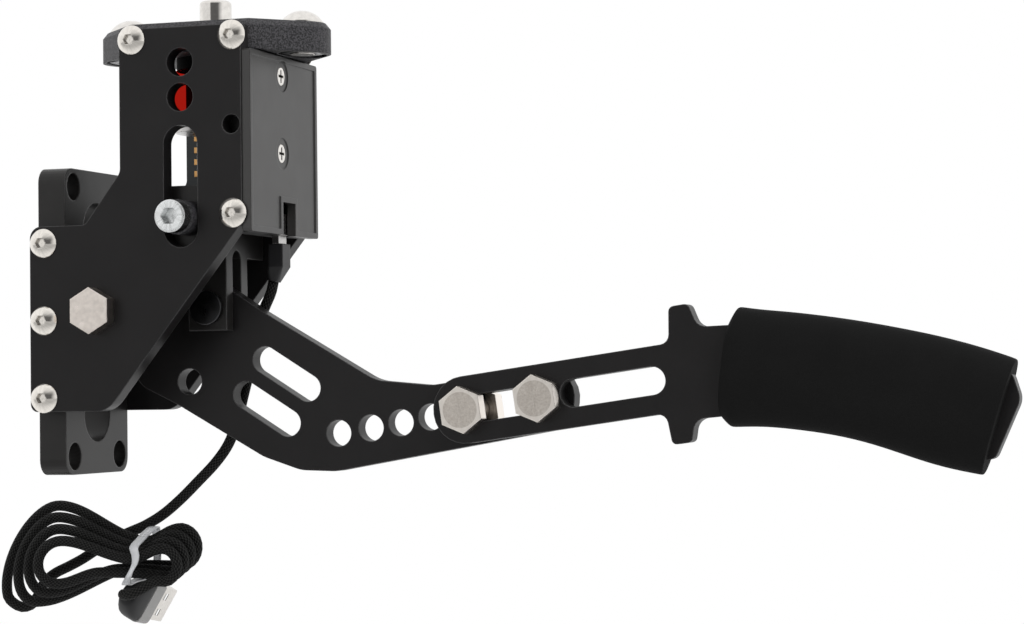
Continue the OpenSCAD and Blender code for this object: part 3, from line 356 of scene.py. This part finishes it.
relief_rubber = grained("relief_rubber", (0.007, 0.007, 0.008), (0.011, 0.011, 0.012), 0.45, 2200, 0.00002,
    0.0008)
dress(nodes["strain_relief"], relief_rubber)
plug_grey = grained("plug_grey", (0.010, 0.010, 0.011), (0.015, 0.015, 0.016), 0.5, 2000, 0.00003, 0.0008,
    Specular_IOR_Level=0.3)
plug_at, plug_dip, plug_turn = Vector(hank_lead_out[-1]), math.radians(9.5), math.radians(28)
in_plug = (Matrix.Translation(plug_at * MM) @ Matrix.Rotation(-math.pi / 2 - plug_dip, 4, "X")
    @ Matrix.Rotation(plug_turn, 4, "Z"))


def new_piece(name, bm, material, body):
    """An object of this mesh, smooth, its faces pointing outwards, dressed and riding."""
    bmesh.ops.recalc_face_normals(bm, faces=bm.faces)
    for face in bm.faces:
        face.smooth = True
    mesh = bpy.data.meshes.new(name)
    bm.to_mesh(mesh)
    bm.free()
    piece = bpy.data.objects.new(name, mesh)
    bpy.context.scene.collection.objects.link(piece)
    dress(piece, material, body)
    return piece


def edges_of(ring):
    """The edges of a ring of corners, in the same order on each run."""
    return list(dict.fromkeys(edge for corner in ring for edge in corner.link_edges))


def lofted(bm, rings):
    """A closed skin over rings of points, each made from a circle of as many corners. Gives its end faces."""
    rims = []
    for points in rings:
        ring = bmesh.ops.create_circle(bm, segments=len(points), radius=1)["verts"]
        for v, spot in zip(ring, points):
            v.co = spot
        rims.append(edges_of(ring))
        if len(rims) > 1:
            bmesh.ops.bridge_loops(bm, edges=rims[-2] + rims[-1])
    return [bmesh.ops.edgeloop_fill(bm, edges=rim)["faces"] for rim in (rims[0], rims[-1])]


def squared_off(value, power):
    """A sine or cosine for an oval that is the more square the smaller the power."""
    return math.copysign(abs(value) ** power, value)


def plug_ring(w, h, z, power):
    """Points round the plug at z, w wide and h high."""
    ring = []
    for k in range(plug_corners):
        a = 2 * math.pi * k / plug_corners
        ring.append(in_plug @ (Vector((squared_off(math.cos(a), power) * w / 2,
            squared_off(math.sin(a), power) * h / 2, z)) * MM))
    return ring


# One row for each ring of the plug's body, from the lead's end: its width, height, place and power.
plug_corners = 40
plug_rows = ((4.2, 4.4, 0, 1), (5.2, 5.6, 0.1, 0.9), (6, 7.2, 0.7, 0.8), (6.8, 9.2, 1.8, 0.7),
    (7.3, 11.4, 3.2, 0.6), (7.6, 13.4, 5, 0.5), (7.7, 14.6, 7, 0.42), (7.8, 15, 8.4, 0.4),
    (7.6, 14.8, 8.8, 0.4), (7.2, 14.4, 9, 0.4))
bm = bmesh.new()
lofted(bm, [plug_ring(*row) for row in plug_rows])
plug_body = new_piece("plug_body", bm, plug_grey, "housing")
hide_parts("usb_plug_body")
collar_grey = grained("collar_grey", (0.26, 0.255, 0.25), (0.31, 0.305, 0.30), 0.4, 2000, 0.00002, 0.0006)
dress(nodes["usb_plug_collar"], collar_grey)
tongue_white = grained("tongue_white", (0.72, 0.72, 0.70), (0.8, 0.8, 0.78), 0.4, 1500, 0.00002, 0.0002)
dress(nodes["usb_plug_tongue"], tongue_white)

# Side plates, lever and handle plate: flat aluminium, cut to shape and black anodised, with a fine dull grain
# and edges painted a little paler, partly as rubbed wear and partly as a painted highlight. Screws and bolts
# hold them.
anodised = grained("anodised_black", (0.0075, 0.0070, 0.0072), (0.0115, 0.0108, 0.0110), 0.38, 2600, 0.00003,
    0.0006, edge_wear_and_highlight_tone=(0.14, 0.14, 0.14), Specular_IOR_Level=0.2)
for name in ("side_plate_near", "side_plate_far", "lever_arm", "handle_plate"):
    dress(nodes[name], anodised)

# Base plate and sliding block: milled from thick aluminium bar and black anodised, a little browner and
# glossier than the plates. The side plates are screwed to the base, and the block slides between them.
# Their edges are painted paler too, partly as rubbed wear and partly as a painted highlight.
milled_bar = grained("milled_bar_black", (0.0085, 0.0080, 0.0078), (0.0175, 0.0165, 0.0160), 0.34, 2200,
    0.00004, 0.0007, edge_wear_and_highlight_tone=(0.10, 0.10, 0.10), Specular_IOR_Level=0.3)
for name in ("base_plate", "follower_fork"):
    dress(nodes[name], milled_bar)

# Top cap and guide bushes: black plastic, moulded with a pebbled, speckled surface. Screws through the side
# plates hold the cap between them, and each bush runs in a side plate's slot.
pebbled = grained("pebbled_plastic", (0.007, 0.007, 0.008), (0.05, 0.048, 0.053), 0.52, 1800, 0.0005, 0.0008,
    speckled=True, Specular_IOR_Level=0.45)
for name in ("top_cap", "guide_bushes"):
    dress(nodes[name], pebbled)

# Electronics tray and damper seat: black mouldings in the frame, with hardly any grain. The tray has a satin
# gloss, and the seat, which lies in the shade under the cap, has almost none and is painted darker still, as
# painted shade.
tray_black = grained("tray_black", (0.006, 0.006, 0.006), (0.010, 0.010, 0.010), 0.45, 1500, 0.00004, 0.0005,
    Specular_IOR_Level=0.3)
dress(nodes["box_tray"], tray_black)
# Painted shade: the seat's colour is darker than the tray's, standing in for the shade under the cap.
seat_black_painted_shade = grained("seat_black_painted_shade", (0.002, 0.002, 0.002), (0.004, 0.0035, 0.0035), 0.7, 1500, 0.00004, 0.0005,
    Specular_IOR_Level=0.05)
dress(nodes["damper_seat"], seat_black_painted_shade)

# Electronics cover: a smooth dark grey lid over the tray, with a satin finish. Two small cross headed screws
# hold it.
cover_grey = grained("cover_grey", (0.024, 0.0235, 0.023), (0.031, 0.030, 0.029), 0.38, 2000, 0.00002, 0.0005)
dress(nodes["box_cover"], cover_grey)


# Plate screws, guide screws and handle bolts: steel, turned or forged, and plated. Their heads have faint rays
# from their own centres, gloss that varies in patches, and painted shade that darkens their hollows. The
# handle's bolts and nuts have duller forged faces inside their corners.
def from_heads(tree, place, centres, reach):
    """Where a point lies in X and Z, counted from the centre whose head it is on."""
    split = add_node(tree, "ShaderNodeSeparateXYZ")
    tree.links.new(place, split.inputs[0])
    sums = [0, 0]
    for centre in centres:
        away = [math_node(tree, "SUBTRACT", split.outputs[axis], value * MM)
            for axis, value in zip((0, 2), centre)]
        squares = [math_node(tree, "MULTIPLY", a, a) for a in away]
        on_it = math_node(tree, "LESS_THAN", math_node(tree, "ADD", *squares), (reach * MM) ** 2)
        sums = [math_node(tree, "ADD", s, math_node(tree, "MULTIPLY", a, on_it)) for s, a in zip(sums, away)]
    join = add_node(tree, "ShaderNodeCombineXYZ")
    for socket, value in zip(join.inputs, sums):
        tree.links.new(value, socket)
    return join.outputs[0]


def bare_metal(name, colour, roughness, depth, brush=(1, 1, 1), centres=None, reach=None, face_radius=None):
    """A metal whose marks are stretched by brush, or run out in rays from the centres of its heads. A forged
    head is duller and browner inside face_radius than outside it. Centres and reach are in millimetres, and the
    other lengths in metres."""
    ray_scale, mark_scale, patch_scale, speck_scale = 3.2, 600, 350, 1800
    mark_share, forged_shares, recess_shade_share = 0.84, (0.56, 0.53, 0.50), 0.12
    hollow_depth, edge_round, corner_blend = 0.0018, 0.0004, 0.0002
    material, tree, shader = surface(name, colour, roughness, Metallic=1)
    place = add_node(tree, "ShaderNodeTexCoord").outputs["Object"]
    if centres:
        spot = from_heads(tree, place, centres, reach)
        ray = add_node(tree, "ShaderNodeVectorMath", operation="NORMALIZE")
        tree.links.new(spot, ray.inputs[0])
        marks = noise(tree, ray.outputs[0], ray_scale, 4)
    else:
        stretch = add_node(tree, "ShaderNodeMapping", Scale=brush)
        tree.links.new(place, stretch.inputs["Vector"])
        marks = noise(tree, stretch.outputs[0], mark_scale, 3)
    patches = noise(tree, place, patch_scale, 3)
    uneven = spread(tree, patches, To_Min=roughness * 0.6, To_Max=roughness * 1.4)
    tree.links.new(uneven, shader.inputs["Roughness"])
    marked = tuple(c * mark_share for c in colour)
    tone = tinted(tree, spread(tree, marks, From_Min=0.3, From_Max=0.7), marked, colour)
    if face_radius:
        away = add_node(tree, "ShaderNodeVectorMath", operation="LENGTH")
        tree.links.new(spot, away.inputs[0])
        on_corner = spread(tree, away.outputs["Value"], From_Min=face_radius - corner_blend,
            From_Max=face_radius)
        scaled = tuple(c * k for c, k in zip(colour, forged_shares))
        forged = tinted(tree, noise(tree, place, speck_scale, 3), scaled, tone)
        tone = tinted(tree, on_corner, forged, colour)
    # Painted shade: hollows and sockets, found by occlusion, are darkened in the colour itself.
    hollow = add_node(tree, "ShaderNodeAmbientOcclusion", samples=8, Distance=hollow_depth)
    open_share = spread(tree, hollow.outputs["AO"], From_Min=0.15, From_Max=0.6)
    painted_recess_shade = tuple(c * recess_shade_share for c in colour)
    tree.links.new(tinted(tree, open_share, painted_recess_shade, tone), shader.inputs["Base Color"])
    raised(tree, shader, marks, depth, over=softened(tree, edge_round))
    return material


plate_screw_spots = ((4.9, 25), (4.9, 0), (4.9, -25), (71.5, 32.8), (71.5, 89.3), (36.7, 89.3))
screw_steel = bare_metal("screw_steel", (0.90, 0.86, 0.80), 0.14, 0.00006, centres=plate_screw_spots, reach=6)
for name in ("plate_screws_near", "plate_screws_far"):
    dress(nodes[name], screw_steel)
rod_x = 53.5
guide_screw_spot = (rod_x, 31.9)
zinc_plate = bare_metal("zinc_plate", (0.98, 1, 1), 0.24, 0.0003, centres=(guide_screw_spot,), reach=8)
dress(nodes["guide_screws"], zinc_plate)
first_bolt, second_bolt = (141.5, -30.3), (165.8, -27)
bolt_steel = bare_metal("bolt_steel", (0.98, 0.92, 0.85), 0.32, 0.0001, centres=(first_bolt, second_bolt),
    reach=9, face_radius=0.0057)
for name in ("handle_bolts", "handle_nuts"):
    dress(nodes[name], bolt_steel)

# Pivot bolt, cap bolts, top nut, push rod and small screws: plated steel with an even fine grain. The pivot's
# bolt, nut and washer are dull, and the others are nearly mirrors.
forged_steel = bare_metal("forged_steel", (0.98, 0.90, 0.83), 0.34, 0.00003)
for name in ("pivot_bolt", "pivot_nut", "pivot_washer"):
    dress(nodes[name], forged_steel)
bright = bare_metal("bright_steel", (0.86, 0.83, 0.79), 0.1, 0.000004)
for name in ("cap_end_screws", "top_nut", "cover_screws", "sensor_screws", "push_rod"):
    dress(nodes[name], bright)

# Nuts, washers, pin, spacers, bushes, magnet and plug shells: steel, aluminium and bronze, brushed or turned,
# so that the marks mostly run one way. The pin, its clip and the cap's nuts are blackened.
brushed = bare_metal("brushed_steel", (0.62, 0.61, 0.60), 0.3, 0.00002, brush=(0.15, 1, 3))
for name in ("lock_nut", "thrust_washer", "lead_socket", "small_plug_shell", "magnet"):
    dress(nodes[name], brushed)
folded = bare_metal("folded_steel", (0.80, 0.77, 0.73), 0.36, 0.00001, brush=(3, 3, 0.3))
dress(nodes["usb_plug_shell"], folded)
turned = bare_metal("turned_aluminium", (0.55, 0.55, 0.56), 0.3, 0.00002, brush=(1, 6, 1))
for name in ("pivot_spacers", "thrust_sleeve"):
    dress(nodes[name], turned)
dark_steel = bare_metal("dark_steel", (0.12, 0.12, 0.125), 0.32, 0.00002)
for name in ("pin_clip", "clevis_pin", "cap_end_nuts"):
    dress(nodes[name], dark_steel)
bronze = bare_metal("bronze", (0.5, 0.32, 0.12), 0.4, 0.00003, brush=(1, 6, 1))
for name in ("guide_bush", "lever_bush"):
    dress(nodes[name], bronze)

# Damper: a cast elastomer bush, clear red and glossy, faintly clouded. It sits round the push rod against its
# seat; the real bush flattens towards the seat as the thrust washer rises. It is a little wider than its solid,
# so that it fills the round window.
red, tree, shader = surface("red_elastomer", (0.34, 0.009, 0.005), 0.05, Transmission_Weight=1, IOR=1.001)
clouding = noise(tree, add_node(tree, "ShaderNodeTexCoord").outputs["Object"], 300, 3)
tree.links.new(spread(tree, clouding, To_Min=0.02, To_Max=0.12), shader.inputs["Roughness"])
raised(tree, shader, clouding, 0.00002, strength=0.2)
damper_outer, damper_bore, damper_edge = 14, 3.85, 0.8
damper_low, damper_high, damper_steps = 63.25, 81.35, 72
bm = bmesh.new()
outline = [(damper_bore, damper_low + damper_edge), (damper_bore + damper_edge, damper_low),
    (damper_outer - damper_edge, damper_low), (damper_outer, damper_low + damper_edge),
    (damper_outer, damper_high - damper_edge), (damper_outer - damper_edge, damper_high),
    (damper_bore + damper_edge, damper_high), (damper_bore, damper_high - damper_edge)]
corners = [bm.verts.new(((rod_x + out) * MM, 0, z * MM)) for out, z in outline]
sides = [bm.edges.new((a, b)) for a, b in zip(corners, corners[1:] + corners[:1])]
bmesh.ops.spin(bm, geom=corners + sides, cent=(rod_x * MM, 0, 0), axis=(0, 0, 1), angle=2 * math.pi,
    steps=damper_steps, use_merge=True)
damper = new_piece("damper_bush", bm, red, "housing")
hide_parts("damper")
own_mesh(damper)

# Circuit boards: lacquered glass fibre, one nearly black and one green, with gold plated pads and black chips.
# Four thin black wires leave the sensor's board for the tray.
board_dark = grained("board_dark", (0.008, 0.011, 0.012), (0.014, 0.018, 0.019), 0.35, 3000, 0.00002, 0.0002)
dress(nodes["sensor_board"], board_dark)
board_green = grained("board_green", (0.008, 0.08, 0.028), (0.012, 0.11, 0.04), 0.35, 3000, 0.00002, 0.0002)
dress(nodes["main_board"], board_green)
gold = bare_metal("gold_pad", (0.75, 0.42, 0.16), 0.3, 0.00002)
dress(nodes["sensor_pads"], gold)
chip_black = grained("chip_black", (0.008, 0.008, 0.008), (0.013, 0.013, 0.013), 0.5, 2500, 0.00002, 0.0002)
for name in ("board_chips", "sensor_chip", "sensor_lead"):
    dress(nodes[name], chip_black)

# Foam grip: a closed cell sleeve pushed over the handle plate, thick and oval, cut off square at both ends. One
# row for each cut across it, in the handle's own tilt from its first bolt: the top edge in X and Z, the lower
# edge in X and Z, and the share of the full thickness.
grip_cuts = ((87.8, 13.6, 80.6, -13.2, 0.8), (88.1, 14.4, 80.8, -14, 0.84), (91.2, 18.4, 83.2, -17.6, 1),
    (92, 18.2, 84.4, -17.8, 1), (98, 16.4, 93, -18.8, 1), (108.5, 14, 101.5, -20.8, 1),
    (124.5, 9.4, 114.5, -24.4, 1), (138, 4.8, 126, -29, 1), (150, 0.4, 136, -34.2, 1),
    (161.5, -4.6, 145.5, -38.8, 1), (171.2, -9.6, 156, -42.4, 1), (172, -10.2, 156.8, -42.6, 0.97))
handle_tilt, handle_middle_y = math.radians(7.75), -6
grip_half_t, grip_power, grip_corners, grip_rim = 10, 0.8, 48, 0.0008
handle_start = Vector((first_bolt[0], 0, first_bolt[1]))


def grip_ring(top_x, top_z, low_x, low_z, share):
    """Points round the grip at one cut."""
    ring = []
    for k in range(grip_corners):
        a = 2 * math.pi * k / grip_corners
        lift = squared_off(math.cos(a), grip_power)
        out = squared_off(math.sin(a), grip_power) * grip_half_t * share
        x = (top_x + low_x) / 2 + (top_x - low_x) / 2 * lift
        z = (top_z + low_z) / 2 + (top_z - low_z) / 2 * lift
        spot = Vector((x * math.cos(handle_tilt) - z * math.sin(handle_tilt), handle_middle_y + out,
            x * math.sin(handle_tilt) + z * math.cos(handle_tilt)))
        ring.append((handle_start + spot) * MM)
    return ring


foam = grained("grip_foam", (0.0050, 0.0050, 0.0050), (0.0080, 0.0080, 0.0080), 0.8, 1800, 0.0001, 0.0005,
    Specular_IOR_Level=0.1)
bm = bmesh.new()
for end in lofted(bm, [grip_ring(*cut) for cut in grip_cuts]):
    bmesh.ops.inset_region(bm, faces=end, thickness=grip_rim, use_even_offset=True)
grip = new_piece("grip_sleeve", bm, foam, "lever")
rounding = grip.modifiers.new("smooth", "SUBSURF")
rounding.levels = rounding.render_levels = 2
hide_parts("foam_grip")

# Tie: a flat clear band wound once round the hank, twisted narrow where it crosses the front and spread wide
# above and below. One row for each point along it: its place in Y and Z, how far it leans from tie_x, and half
# its width.
clear_tie = grained("clear_tie", (0.62, 0.63, 0.65), (0.86, 0.87, 0.89), 0.3, 600, 0.0002, 0.0003,
    Transmission_Weight=0.35)
tie_x, tie_thick, tie_reach, tie_parts = 28.3, 0.5, 0.5, 6
tie_front, tie_back = -11.18 - tie_reach, 5.07 + tie_reach
tie_run = [(tie_front, -85.2 - tie_reach, -3.2, 1.5), (tie_front, -82, -1.6, 0.8), (tie_front, -79, 0, 1.0),
    (tie_front, -76.5, 0.3, 1.3), (tie_front, -74.2 + tie_reach, -0.2, 1.5), (-6, -72 + tie_reach, -0.6, 1.6),
    (0, -69.8 + tie_reach, -0.8, 1.7), (tie_back, -68.6 + tie_reach, -0.8, 1.6), (tie_back, -72, -0.3, 1.3),
    (tie_back, -77, 0, 1.3), (tie_back, -83.3 - tie_reach, -1, 1.4), (-1, -84 - tie_reach, -2, 1.8),
    (-7, -84.6 - tie_reach, -3, 1.9)]
closed = [Vector(q) for q in tie_run[-3:] + tie_run + tie_run[:3]]
smooth = []
for a, b, c, d in zip(closed[2:-3], closed[3:-2], closed[4:-1], closed[5:]):
    smooth += [curved(a, b, c, d, k / tie_parts) for k in range(tie_parts)]
bm = bmesh.new()
borders = []
for side in (-1, 1):
    ring = bmesh.ops.create_circle(bm, segments=len(smooth), radius=1)["verts"]
    for v, q in zip(ring, smooth):
        v.co = Vector((tie_x + q[2] + side * q[3], q[0], q[1])) * MM
    borders += edges_of(ring)
bmesh.ops.bridge_loops(bm, edges=borders)
tie = new_piece("clear_tie", bm, clear_tie, "housing")
thick = tie.modifiers.new("thickness", "SOLIDIFY")
thick.thickness = tie_thick * MM
thick.offset = 0
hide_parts("hank_tie")

# Stage: a pale floor well below, and a studio that is white behind the object, bright above it and at its far
# right, and on the near side pale to the left and dark in the middle, so that dark coatings and bright metal
# have something to mirror. The camera sees it white all round.
floor_half, floor_z = 6, -0.4
bm = bmesh.new()
bmesh.ops.create_grid(bm, x_segments=1, y_segments=1, size=floor_half,
    matrix=Matrix.Translation((0, 0, floor_z)))
mesh = bpy.data.meshes.new("floor")
bm.to_mesh(mesh)
bm.free()
floor = bpy.data.objects.new("floor", mesh)
bpy.context.scene.collection.objects.link(floor)
floor_white, tree, shader = surface("floor_white", (0.8, 0.8, 0.8), 0.9)


def seen_directly(tree):
    """Outputs for rays from the camera, and for rays that mirror or pass through a piece."""
    path_kind = add_node(tree, "ShaderNodeLightPath")
    through = math_node(tree, "MAXIMUM", path_kind.outputs["Is Glossy Ray"],
        path_kind.outputs["Is Transmission Ray"])
    return path_kind.outputs["Is Camera Ray"], through


def ramp(tree, value, low, high, to_low, to_high):
    """Goes softly from to_low to to_high as the value goes from low to high. Another node may give to_low."""
    node = add_node(tree, "ShaderNodeMapRange", interpolation_type="SMOOTHSTEP", From_Min=low, From_Max=high,
        To_Max=to_high)
    tree.links.new(value, node.inputs[0])
    if isinstance(to_low, (int, float)):
        node.inputs["To Min"].default_value = to_low
    else:
        tree.links.new(to_low, node.inputs["To Min"])
    return node.outputs[0]


# The floor glows white for the camera, and for what mirrors it too, but there dimmer on the near side. The
# camera sees a faint shadow on it, which is gone a good metre out.
floor_dim = 0.5
shadow_out, shadow_end, shadow_glow = 0.7, 1.3, 0.75
place = add_node(tree, "ShaderNodeTexCoord").outputs["Object"]
split = add_node(tree, "ShaderNodeSeparateXYZ")
tree.links.new(place, split.inputs[0])
from_camera, through = seen_directly(tree)
far = add_node(tree, "ShaderNodeVectorMath", operation="LENGTH")
tree.links.new(place, far.inputs[0])
over_shadow = ramp(tree, far.outputs["Value"], shadow_out, shadow_end, shadow_glow, 1)
glow_share = math_node(tree, "MAXIMUM", math_node(tree, "MULTIPLY", from_camera, over_shadow), through)
mirrored = ramp(tree, split.outputs[1], -0.7, 0.1, floor_dim, 1)
glow = add_node(tree, "ShaderNodeEmission")
glow.inputs[0].default_value = (1, 1, 1, 1)
tree.links.new(math_node(tree, "MAXIMUM", from_camera, mirrored), glow.inputs["Strength"])
blend = add_node(tree, "ShaderNodeMixShader")
tree.links.new(glow_share, blend.inputs[0])
tree.links.new(shader.outputs[0], blend.inputs[1])
tree.links.new(glow.outputs[0], blend.inputs[2])
tree.links.new(blend.outputs[0], tree.nodes["Material Output"].inputs[0])
floor.data.materials.append(floor_white)

# The studio round the floor, by the direction that a ray takes.
studio_pale, studio_dark, studio_extra = 0.85, 0.12, 0.7
dull_share = 0.5
world = bpy.data.worlds.new("studio")
bpy.context.scene.world = world
world.use_nodes = True
tree = world.node_tree
sky = tree.nodes["Background"]
sky.inputs[0].default_value = (1, 1, 1, 1)
split = add_node(tree, "ShaderNodeSeparateXYZ")
tree.links.new(add_node(tree, "ShaderNodeTexCoord").outputs["Generated"], split.inputs[0])
front = ramp(tree, split.outputs[0], -0.30, -0.20, studio_pale, studio_dark)
behind = ramp(tree, split.outputs[1], -0.5, 0.3, front, 1)
beside = ramp(tree, split.outputs[0], 0.6, 0.95, 0, studio_extra)
above = ramp(tree, split.outputs[2], 0.35, 0.85, 0, studio_extra)
field = math_node(tree, "MINIMUM", math_node(tree, "ADD", math_node(tree, "ADD", behind, beside), above), 1)
from_camera, through = seen_directly(tree)
share = math_node(tree, "ADD", math_node(tree, "MULTIPLY", through, 1 - dull_share), dull_share)
strength = math_node(tree, "MAXIMUM", from_camera, math_node(tree, "MULTIPLY", field, share))
tree.links.new(strength, sky.inputs["Strength"])


def lamp(name, at, aim, size, watts):
    """A soft rectangular lamp, which nothing mirrors."""
    data = bpy.data.lights.new(name, "AREA")
    data.shape = "RECTANGLE"
    data.size, data.size_y = size
    data.energy = watts
    light = bpy.data.objects.new(name, data)
    bpy.context.scene.collection.objects.link(light)
    light.location = at
    light.rotation_mode = "QUATERNION"
    light.rotation_quaternion = (Vector(aim) - Vector(at)).to_track_quat("-Z", "Y")
    light.visible_glossy = False


middle = (0.12, 0, 0)
lamp("key", (1.1, -0.55, 0.6), middle, (0.9, 0.9), 10)
lamp("fill", (-0.5, -1.3, 0.3), middle, (1, 1), 8.5)
lamp("top", (0.1, -0.2, 1.3), middle, (1.2, 1), 6)

bpy.context.scene.view_settings.view_transform = "Standard"
